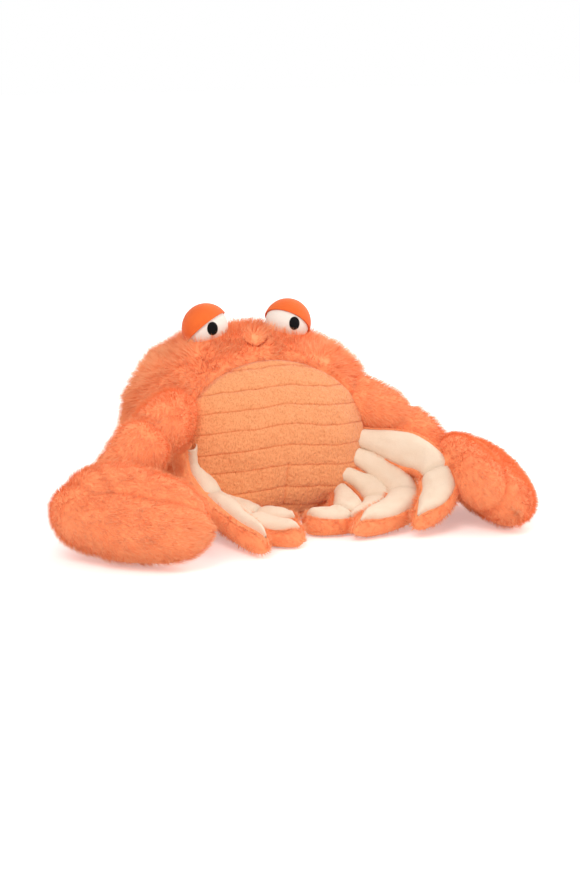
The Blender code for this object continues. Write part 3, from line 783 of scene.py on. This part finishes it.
def claw_skins(name, side, seed):
    """A claw's two fingers and its palm, each a closed form."""
    heel, yaw, pitch, roll = CLAW_POSES[name]
    yaw, pitch, roll = (math.radians(a) for a in (yaw, pitch, roll))
    ahead = np.array((-side * math.sin(yaw), -math.cos(yaw), 0))
    inward = np.array((-side * math.cos(yaw), math.sin(yaw), 0))
    up = np.array((0, 0, 1.0))
    length = ahead * math.cos(pitch) - up * math.sin(pitch)
    lift = ahead * math.sin(pitch) + up * math.cos(pitch)
    width = inward * math.cos(roll) + lift * math.sin(roll)
    face = lift * math.cos(roll) - inward * math.sin(roll)
    skins = []
    for number, (lane, curl, start, end, broad, thick) in enumerate(CLAW_PARTS):

        def line(share):
            swing = lane * CLAW_WIDTH * np.sin(np.pi * np.clip(share, 0, 1) ** 0.8)
            swing = swing + curl * CLAW_WIDTH * share
            return np.array(heel) + length * (share * CLAW_LENGTH)[:, None] + width * swing[:, None]

        shares = round_shares(50, start, end)
        round_off = rounded_end(shares, start, end, 0.26)
        half_width = CLAW_WIDTH * broad * (1 - 0.35 * np.maximum(0, shares - 0.5)) * round_off
        half_height = CLAW_THICKNESS * thick * (1 - 0.45 * np.maximum(0, shares - 0.45)) * round_off
        frames = frames_along(line, lambda s: np.tile(face, (len(s), 1)), shares)
        rings, lay = tube(frames, half_width, half_height, 44, 2.2)
        fan = unit(rings - frames[0][:, None])
        skins.append(ring_skin(soft_rings(frames[0], rings, 0.03, 0.03, seed + number), lay=lay + 0.25 * fan))
    return skins


def leg_widths(shares):
    places, widths = np.array(LEG_WIDTHS).T
    index = np.clip(np.searchsorted(places, shares, side="left"), 1, len(places) - 1)
    step = np.clip((shares - places[index - 1]) / (places[index] - places[index - 1]), 0, 1)
    step = step * step * (3 - 2 * step)
    return widths[index - 1] + (widths[index] - widths[index - 1]) * step


# How much fuller than the solid a leg is filled at its root and below its knee, and how far it sags aside
# below the knee and at its tip
LEG_SAGS = {("left", 1): (0.42, 0.36, 0.0046, 0.0070), ("left", 2): (0.34, 0.32, -0.0045, 0.0030)}
# Share of its bed that a lining spans, and how far it is sewn off its middle
LINING_SPANS = {("left", 2): (1.0, 0.0), ("right", 1): (0.80, -0.0022)}


def leg_parts(name, number, seed):
    """The fur back's skin and the smooth lining's grid of one leg."""
    points, facings = LEGS[name][number - 1], FACINGS[name][number - 1]
    length = 2 * np.linalg.norm(np.array(points[1]) - np.array(points[0]))
    shares = np.concatenate([np.linspace(-0.012 / length, 0.86, 40), np.linspace(0.88, 1.0, 12)])
    knee = bump(shares - 0.5, 0.05)
    half_width = LEG_WIDTH / 2 * leg_widths(shares) * (1 - KNEE_PINCH * knee)
    half_width = half_width * rounded_end(shares, -9, 1.0, 0.12, 0.14)
    half_height = LEG_THICKNESS / 2 * (1 - 1.6 * KNEE_PINCH * knee)
    half_height = half_height * rounded_end(shares, -9, 1.0, 0.10, 0.14)
    frames = frames_along(lambda s: bend(points, s), lambda s: bend(facings, np.clip(s, 0, 1)), shares)
    middle, ahead, across, face = frames
    root_fuller, fuller, aside, tip_aside = LEG_SAGS.get((name, number), (0.10, 0.16, 0.0, 0.0))
    fullness = 1 + root_fuller * bump(shares - 0.14, 0.17) + fuller * bump(shares - 0.74, 0.19)
    half_width = half_width * fullness
    sag = aside * bump(shares - 0.62, 0.20) + tip_aside * smooth_step(0.6, 1.0, shares)
    middle = middle + across * sag[:, None]
    inner = np.maximum(half_width - LEG_RIM, half_width * 0.45)

    def crown(out):
        return half_height * (1 - np.minimum(1, np.abs(out) / half_width) ** LEG_POWER) ** (1 / LEG_POWER)

    def at(out, up):
        return middle + across * out[:, None] + face * up[:, None]

    top = crown(inner)
    edge = np.arctan2(top / half_height, inner / half_width)
    rings, dense, rim = [], [], []
    steps = 20
    for i in range(steps + 1):
        angle = edge - (np.pi + 2 * edge) * i / steps
        x, y = squircle(angle, LEG_POWER)
        if i in (0, steps):
            rings.append(at(inner * (1 if i == 0 else -1), top))
        else:
            rings.append(at(x * half_width, y * half_height))
        dense.append(np.full(len(shares), 1.0))
        rim.append(1.0 if i < 3 or i > steps - 3 else 0.0)
    span, shift = LINING_SPANS.get((name, number), (0.98, 0.0))
    past = np.clip((shares - 0.82) / (0.972 - 0.82), 0, 1)
    trim = span * np.sqrt(1 - past**2 * 0.985)
    for share in np.linspace(-0.94, 0.94, 9):
        rim.append(0.0)
        rings.append(at(inner * share, crown(inner * share) - 0.0015))
        dense.append(np.where(np.abs(inner * share - shift) > inner * trim - 0.0008, 1.0, 0.0))
    rings, dense = np.stack(rings, 1), np.stack(dense, 1)
    lay = np.repeat(ahead[:, None], rings.shape[1], 1) * 0.8 + 0.6 * unit(rings - middle[:, None])
    rim = np.array(rim)[None, :] * np.ones(len(shares))[:, None]
    lay = lay + (0.2 + 0.4 * rim[..., None]) * face[:, None]
    back = ring_skin(lift_from_floor(rings), lay=lay, dense=dense * (1 + 0.5 * rim), tall=1 + 0.12 * rim)

    last = int(np.searchsorted(shares, 0.972))
    grid = []
    sides = np.linspace(-1, 1, 17)
    for out in sides:
        swell = np.sqrt(np.maximum(0.0, 1 - abs(out) ** 2.6))
        lift = crown(inner * out) + 0.0028 * swell - 0.0013 * (1 - swell)
        lift = lift - 0.0030 * swell * bump(shares - 0.5, 0.011) - 0.0012 * swell * bump(shares - 0.5, 0.05)
        reach = inner * out * (1 + 0.02 * swell) * trim + shift
        grid.append(at(reach, lift))
    grid = np.stack(grid, 1)[:last]
    end_fall = smooth_step(0, 3, np.arange(last)[::-1])[:, None]
    flat = grid.reshape(-1, 3)
    ripple = 0.00035 * waves(flat, 0.006, seed) + 0.00045 * waves(flat, 0.014, seed + 7)
    ripple = ripple.reshape(grid.shape[:2])
    pucker = bump(np.abs(sides) - 0.9, 0.12)[None] * 0.00018 * np.sin(np.arange(last) * 1.3)[:, None]
    grid = grid + face[:last, None] * (ripple + pucker - 0.0018 * (1 - end_fall))[..., None]
    return back, grid, face[:last]


def grid_piece(name, grid, faces, thickness, look, tone=None):
    """A thin closed piece: the grid, a copy of it set back by the thickness, and a rim."""
    rows, columns = grid.shape[:2]
    verts = np.concatenate([grid.reshape(-1, 3), (grid - faces * thickness).reshape(-1, 3)])
    front = grid_quads(rows, columns)
    n = rows * columns
    rim = np.concatenate([
        np.arange(columns), columns - 1 + columns * np.arange(1, rows),
        (rows - 1) * columns + np.arange(columns - 2, -1, -1), columns * np.arange(rows - 2, 0, -1),
    ])
    after = np.roll(rim, -1)
    quads = np.concatenate([front, front[:, ::-1] + n, np.stack([after, rim, rim + n, after + n], 1)])
    _, volume = vertex_normals(verts, quads, NO_TRIS)
    if volume < 0:
        quads = quads[:, ::-1]
    if tone is not None:
        tone = np.concatenate([tone, tone])
    return mesh_from(name, verts, quads, NO_TRIS, look, tone)


def disc_grid(count):
    """A square grid pressed into the unit disc."""
    u, v = np.meshgrid(np.linspace(-1, 1, count), np.linspace(-1, 1, count))
    return u * np.sqrt(1 - v * v / 2), v * np.sqrt(1 - u * u / 2)


def make_belly():
    """The ribbed panel: swollen between its stitched lines, with a dart and a tuck low down."""
    x, z = disc_grid(171)
    size = np.hypot(x, z)
    x, z = x * PANEL_WIDTH / 2 * (SEAM + 0.012), z * PANEL_HEIGHT / 2 * (SEAM + 0.012)
    flat = np.stack([x.ravel(), np.zeros(x.size), z.ravel()], 1)
    wobble = (0.0007 * waves(flat, 0.03, 21) + 0.0003 * waves(flat, 0.009, 22)).reshape(x.shape)
    height = PANEL_MIDDLE + z
    level = height + STITCH_SAG * np.abs(x) * (1 - 0.25 * bump(x, 0.012)) + wobble
    lines = (0.150, *STITCHES, -0.02)
    swell, groove_shading = np.zeros_like(x), np.ones_like(x)
    for high, low in zip(lines, lines[1:]):
        inside = (level <= high) & (level > low)
        share = np.clip((level - low) / (high - low), 0, 1)
        gap = np.minimum(share, 1 - share) * (high - low)
        swell = np.where(inside, np.sqrt(1 - (1 - np.minimum(gap / 0.0045, 1)) ** 2), swell)
        # the tone falls to its lowest in each stitched line: painted shade in the groove
        groove_shading = np.where(inside, smooth_step(0.0, 0.0011, gap), groove_shading)
    dart = bump(x - 0.0005 - 0.10 * (height - 0.035), 0.0011)
    dart = dart * smooth_step(0.056, 0.050, height) * smooth_step(0.014, 0.020, height)
    tuck = bump(x - 0.018 - 0.05 * height, 0.0012)
    tuck = tuck * smooth_step(0.036, 0.033, height) * smooth_step(0.020, 0.024, height)
    swell = swell - 0.8 * dart - 0.35 * tuck
    # the dart and the tuck lower the tone too: painted shade in their folds
    groove_shading = groove_shading * (1 - 0.65 * dart) * (1 - 0.35 * tuck)
    edge = smooth_step(1.0, 0.93, size)
    flat3 = np.stack([x.ravel(), np.zeros(x.size), height.ravel()], 1)
    crinkle = (0.00022 * waves(flat3, 0.0030, 23) + 0.00016 * waves(flat3, 0.0017, 24)).reshape(x.shape)
    folds = (0.0006 * waves(flat3, 0.020, 25)).reshape(x.shape)
    out = 0.0011 * swell + crinkle + folds + 0.0004
    out = out * edge - 0.0028 * (1 - edge)
    step = 0.0004
    slope_x = (body_front(x + step, height) - body_front(x - step, height)) / (2 * step)
    slope_z = (body_front(x, height + step) - body_front(x, height - step)) / (2 * step)
    normal = unit(np.stack([slope_x, -np.ones_like(x), slope_z], -1))
    place = np.stack([x, body_front(x, height), height], -1) + normal * out[..., None]
    tone = np.stack([groove_shading.ravel(), size.ravel(), np.zeros(x.size)], 1)
    return grid_piece("belly_plush", place, normal, BELLY_THICKNESS, BELLY, tone)


# The pieces


def eye_ball(name):
    directions, quads = cube_ball(23)
    verts = EYE_PLACES[name] + directions * EYE_HALF
    return skin_of(verts, quads)


def make_eye(name, side):
    """An eye's ball, lid and pupil; gives back the ball's tree, since no pile grows in it."""
    ball = eye_ball(name)
    piece = mesh_from(f"{name}_eye_ball", ball["v"], ball["q"], ball["t"], EYE_WHITE)
    settle(piece, [f"{name}_eye"])

    form = cube_grid(27)
    middle = EYE_PLACES[name] + SHIFT
    half = EYE_HALF + LID_GAP
    for vertex in form.verts:
        vertex.co = Vector(middle + blown_up(np.array(vertex.co)) * half)
    covers = Vector((side * LID_DROOP[0], LID_DROOP[1], LID_DROOP[2])).normalized()
    geometry = form.verts[:] + form.edges[:] + form.faces[:]
    edge = Vector(middle) + covers * 0.0002
    bmesh.ops.bisect_plane(form, geom=geometry, plane_co=edge, plane_no=-covers, clear_outer=True)
    mesh = bpy.data.meshes.new(f"{name}_lid")
    form.to_mesh(mesh)
    form.free()
    mesh.materials.append(LID)
    mesh.shade_smooth()
    lid = add_object(f"{name}_lid", mesh)
    thick = lid.modifiers.new("thickness", "SOLIDIFY")
    thick.thickness, thick.offset = LID_THICKNESS, 1.0
    soft = lid.modifiers.new("folded_edge", "BEVEL")
    soft.width, soft.segments, soft.limit_method, soft.angle_limit = 0.0006, 3, "ANGLE", math.radians(50)
    settle(lid, [f"{name}_eyelid"])

    x, z = disc_grid(41)
    size = np.hypot(x, z)
    x, z = x * PUPIL_HALF[0], z * PUPIL_HALF[1] + PUPIL_RISE
    deep = EYE_HALF[1] * np.sqrt(1 - (x / EYE_HALF[0]) ** 2 - (z / EYE_HALF[2]) ** 2)
    place = np.stack([x, -deep, z], -1)
    normal = unit(place / EYE_HALF**2)
    rise = 0.0010 * np.sqrt(np.maximum(0, 1 - size**4)) + 0.00005 * np.sin(x / 0.0005 * 2 * math.pi)
    place = place + normal * rise[..., None] + EYE_PLACES[name]
    pupil = grid_piece(f"{name}_pupil_stitches", place, normal, PUPIL_THICKNESS, PUPIL)
    settle(pupil, [f"{name}_pupil"])
    return tree_of(ball)


def make_smile():
    line = line_points(SMILE, 40)
    for _ in range(3):
        line[1:-1] = (line[:-2] + line[1:-1] * 2 + line[2:]) / 4
    ahead = unit(np.gradient(line, axis=0))
    up = unit(line - np.array((0.0, 0.085, 0.060)))
    side = unit(np.cross(ahead, up))
    up = np.cross(side, ahead)
    angles = 2 * np.pi * np.arange(10) / 10
    size = 0.00075 * rounded_end(np.linspace(0, 1, 40), 0, 1, 0.06)
    out = side[:, None] * np.cos(angles)[None, :, None] + up[:, None] * np.sin(angles)[None, :, None]
    skin = ring_skin(line[:, None] + up[:, None] * -0.0006 + out * size[:, None, None])
    piece = mesh_from("smile_stitch", skin["v"], skin["q"], skin["t"], THREAD)
    settle(piece, [])


SKINS = {"body": [body_skin()]}
for NAME, SIDE in (("left", 1), ("right", -1)):
    SKINS[f"{NAME}_arm"] = [arm_skin(NAME, 41 + SIDE)]
    SKINS[f"{NAME}_claw"] = claw_skins(NAME, SIDE, 51 + SIDE)
LINING = {}
for NAME, ROWS in LEGS.items():
    for NUMBER in range(1, len(ROWS) + 1):
        BACK, GRID, FACE = leg_parts(NAME, NUMBER, 61 + NUMBER)
        SKINS[f"{NAME}_leg_{NUMBER}"] = [BACK]
        LINING[f"{NAME}_leg_{NUMBER}"] = (GRID, FACE)

TREES = {key: [tree_of(skin) for skin in value] for key, value in SKINS.items()}
EYES = [make_eye("left", 1), make_eye("right", -1)]


def blockers_but(*own):
    return [tree for key, trees in TREES.items() if key not in own for tree in trees] + EYES


for KEY, GROUP in SKINS.items():
    for INDEX, SKIN in enumerate(GROUP):
        # of a claw's own parts only the two fingers crease each other, and the creases get painted shade
        add_creases(SKIN, blockers_but(KEY) + [t for i, t in enumerate(TREES[KEY]) if i + INDEX == 1])

make_smile()
settle(make_belly(), ["belly_panel"])

for INDEX in range(BODY_PIECES):
    FIRST = INDEX == 0
    BLOCKERS = [blockers_but("body")]
    COAT = furry(f"body_coat_{INDEX + 1}", SKINS["body"], "body", 1000 + 100 * INDEX, BLOCKERS, FIRST)
    settle(COAT, ["body_cover"] if FIRST else [])

for NAME in ("left", "right"):
    KEY = f"{NAME}_arm"
    ARM = furry(f"{KEY}_plush", SKINS[KEY], "arm", 2000 + len(NAME), [blockers_but(KEY)])
    settle(ARM, [KEY])
    KEY = f"{NAME}_claw"
    PARTS = TREES[KEY]
    BLOCKERS = [blockers_but(KEY) + [tree for tree in PARTS if tree is not part] for part in PARTS]
    CLAW = furry(f"{KEY}_plush", SKINS[KEY], "claw", 3000 + len(NAME), BLOCKERS)
    settle(CLAW, [KEY])
    for NUMBER in range(1, 5):
        KEY = f"{NAME}_leg_{NUMBER}"
        GRID, FACE = LINING[KEY]
        FACES = np.repeat(FACE[:, None], GRID.shape[1], 1)
        PANEL = grid_piece(f"{KEY}_lining", GRID, FACES, LINING_THICKNESS, CREAM)
        settle(PANEL, [f"{KEY}_panel"])
        SEED = 4000 + NUMBER * 10 + len(NAME)
        LEG = furry(f"{KEY}_plush", SKINS[KEY], "leg", SEED, [blockers_but(KEY)])
        settle(LEG, [f"{KEY}_back"])


# Camera, light and floor


def make_camera():
    yaw_sine, yaw_cosine = math.sin(CAMERA_YAW), math.cos(CAMERA_YAW)
    rise_sine, rise_cosine = math.sin(CAMERA_RISE), math.cos(CAMERA_RISE)
    right = np.array((yaw_cosine, -yaw_sine, 0))
    view = np.array((yaw_sine * rise_cosine, yaw_cosine * rise_cosine, -rise_sine))
    up = np.array((yaw_sine * rise_sine, yaw_cosine * rise_sine, rise_cosine))
    place = CAMERA_TARGET + SHIFT - CAMERA_DISTANCE * view
    data = bpy.data.cameras.new("camera")
    data.lens, data.sensor_width, data.sensor_height = CAMERA_LENS, CAMERA_SENSOR, CAMERA_SENSOR
    data.clip_start, data.clip_end = 0.05, 30
    camera = add_object("camera", data)
    turn = np.stack([right, up, -view], 1)
    camera.matrix_world = Matrix.Translation(Vector(place)) @ Matrix(turn.tolist()).to_4x4()
    bpy.context.scene.camera = camera


def add_area(name, place, target, size, power, colour):
    data = bpy.data.lights.new(name, "AREA")
    data.shape, data.size, data.energy, data.color = "DISK", size, power, colour
    lamp = add_object(name, data)
    lamp.location = place
    lamp.rotation_mode = "QUATERNION"
    lamp.rotation_quaternion = (Vector(target) - Vector(place)).to_track_quat("-Z", "Y")


def make_world(strength):
    """White where it is seen, and of this strength as a light."""
    world = bpy.data.worlds.new("studio")
    world.use_nodes = True
    tree = world.node_tree
    back = tree.nodes["Background"]
    back.inputs["Color"].default_value = (1.0, 1.0, 1.0, 1)
    path = tree.nodes.new("ShaderNodeLightPath")
    seen = math_node(tree, "MAXIMUM", path.outputs["Is Camera Ray"], path.outputs["Is Glossy Ray"])
    seen = math_node(tree, "MAXIMUM", seen, path.outputs["Is Transmission Ray"])
    level = math_node(tree, "ADD", math_node(tree, "MULTIPLY", seen, 1 - strength), strength)
    tree.links.new(level, back.inputs["Strength"])
    bpy.context.scene.world = world


def make_floor():
    """Matt white paper that glows a little, as painted light thrown back onto the object, and more where it is
    seen; the glow is warmer near the object, as painted light reflected from the object into its shadow.
    """
    bpy.ops.mesh.primitive_plane_add(size=12, location=(0, 0, 0))
    floor = bpy.context.object
    floor.name = "floor"
    made, tree, shader = new_material("floor_paper")
    shader.inputs["Base Color"].default_value = (0.88, 0.88, 0.88, 1)
    soften(shader, 1.0, 0.0)
    path = tree.nodes.new("ShaderNodeLightPath")
    spread = tree.nodes.new("ShaderNodeVectorMath")
    spread.operation = "LENGTH"
    tree.links.new(place_of(tree), spread.inputs[0])
    # near the object the glow turns pink: painted light thrown back from the orange object, which tints its
    # shadow
    bounce_tint = ramp(tree, spread.outputs["Value"], ((0.26, (1.0, 0.72, 0.68)), (0.60, (1.0, 0.94, 0.93))))
    tree.links.new(bounce_tint, shader.inputs["Emission Color"])
    seen_glow = math_node(tree, "MULTIPLY", path.outputs["Is Camera Ray"], 0.36)
    # the glow of 0.10 reaches every ray, so the floor lights the object from below: painted bounce light
    tree.links.new(math_node(tree, "ADD", seen_glow, 0.10), shader.inputs["Emission Strength"])
    floor.data.materials.append(made)


make_camera()
make_world(0.675)
add_area("key", (-0.9, -1.1, 1.6), (0, 0, 0.06), 1.2, 18.8, (1.0, 0.98, 0.95))
add_area("fill", (1.4, -0.9, 0.9), (0, 0, 0.06), 1.4, 8.5, (1.0, 0.97, 0.94))
add_area("rim", (1.1, 0.5, 1.0), (0.1, 0, 0.06), 1.0, 9.0, (1.0, 0.97, 0.94))
make_floor()
bpy.context.scene.view_settings.view_transform = "Standard"
